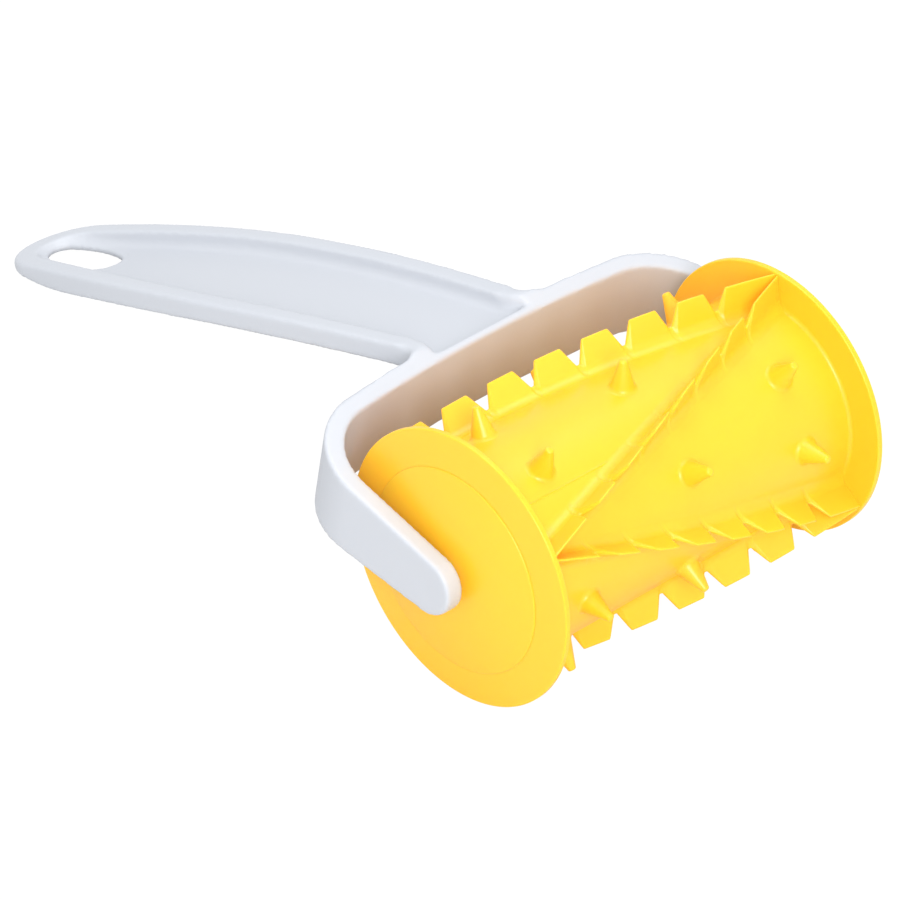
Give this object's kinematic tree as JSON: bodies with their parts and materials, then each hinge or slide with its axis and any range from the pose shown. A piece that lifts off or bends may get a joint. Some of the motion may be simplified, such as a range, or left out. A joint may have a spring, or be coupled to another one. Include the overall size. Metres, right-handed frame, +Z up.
{
  "type": "pastry roller",
  "caption": "Hand tool for pastry: a barrel with toothed zigzag blades and spikes between two rims, spinning on stub pins in a U-shaped handle with a dished grip and a hanging slot.",
  "frame": {"origin": "on the table, under the middle of the tool's bounding box, with the tool lying on its two rims and the tip of its grip", "axes": "+X along the roller's axle, +Y from the roller to the tip of the grip, +Z up from the table"},
  "size_m": [0.118, 0.2226, 0.065],
  "materials": {
    "white_plastic": "satin moulded",
    "yellow_plastic": "glossy moulded, slightly translucent"
  },
  "bodies": {
    "frame": {"handle_frame": "white_plastic"},
    "roller": {"roller_barrel": "yellow_plastic", "left_end_cap": "yellow_plastic", "right_end_cap": "yellow_plastic"}
  },
  "joints": [
    {"name": "roller_spin", "type": "hinge", "parent": "frame", "child": "roller", "pos_m": [0, -0.07884, 0.0325], "axis": [1, 0, 0], "continuous": true}
  ]
}
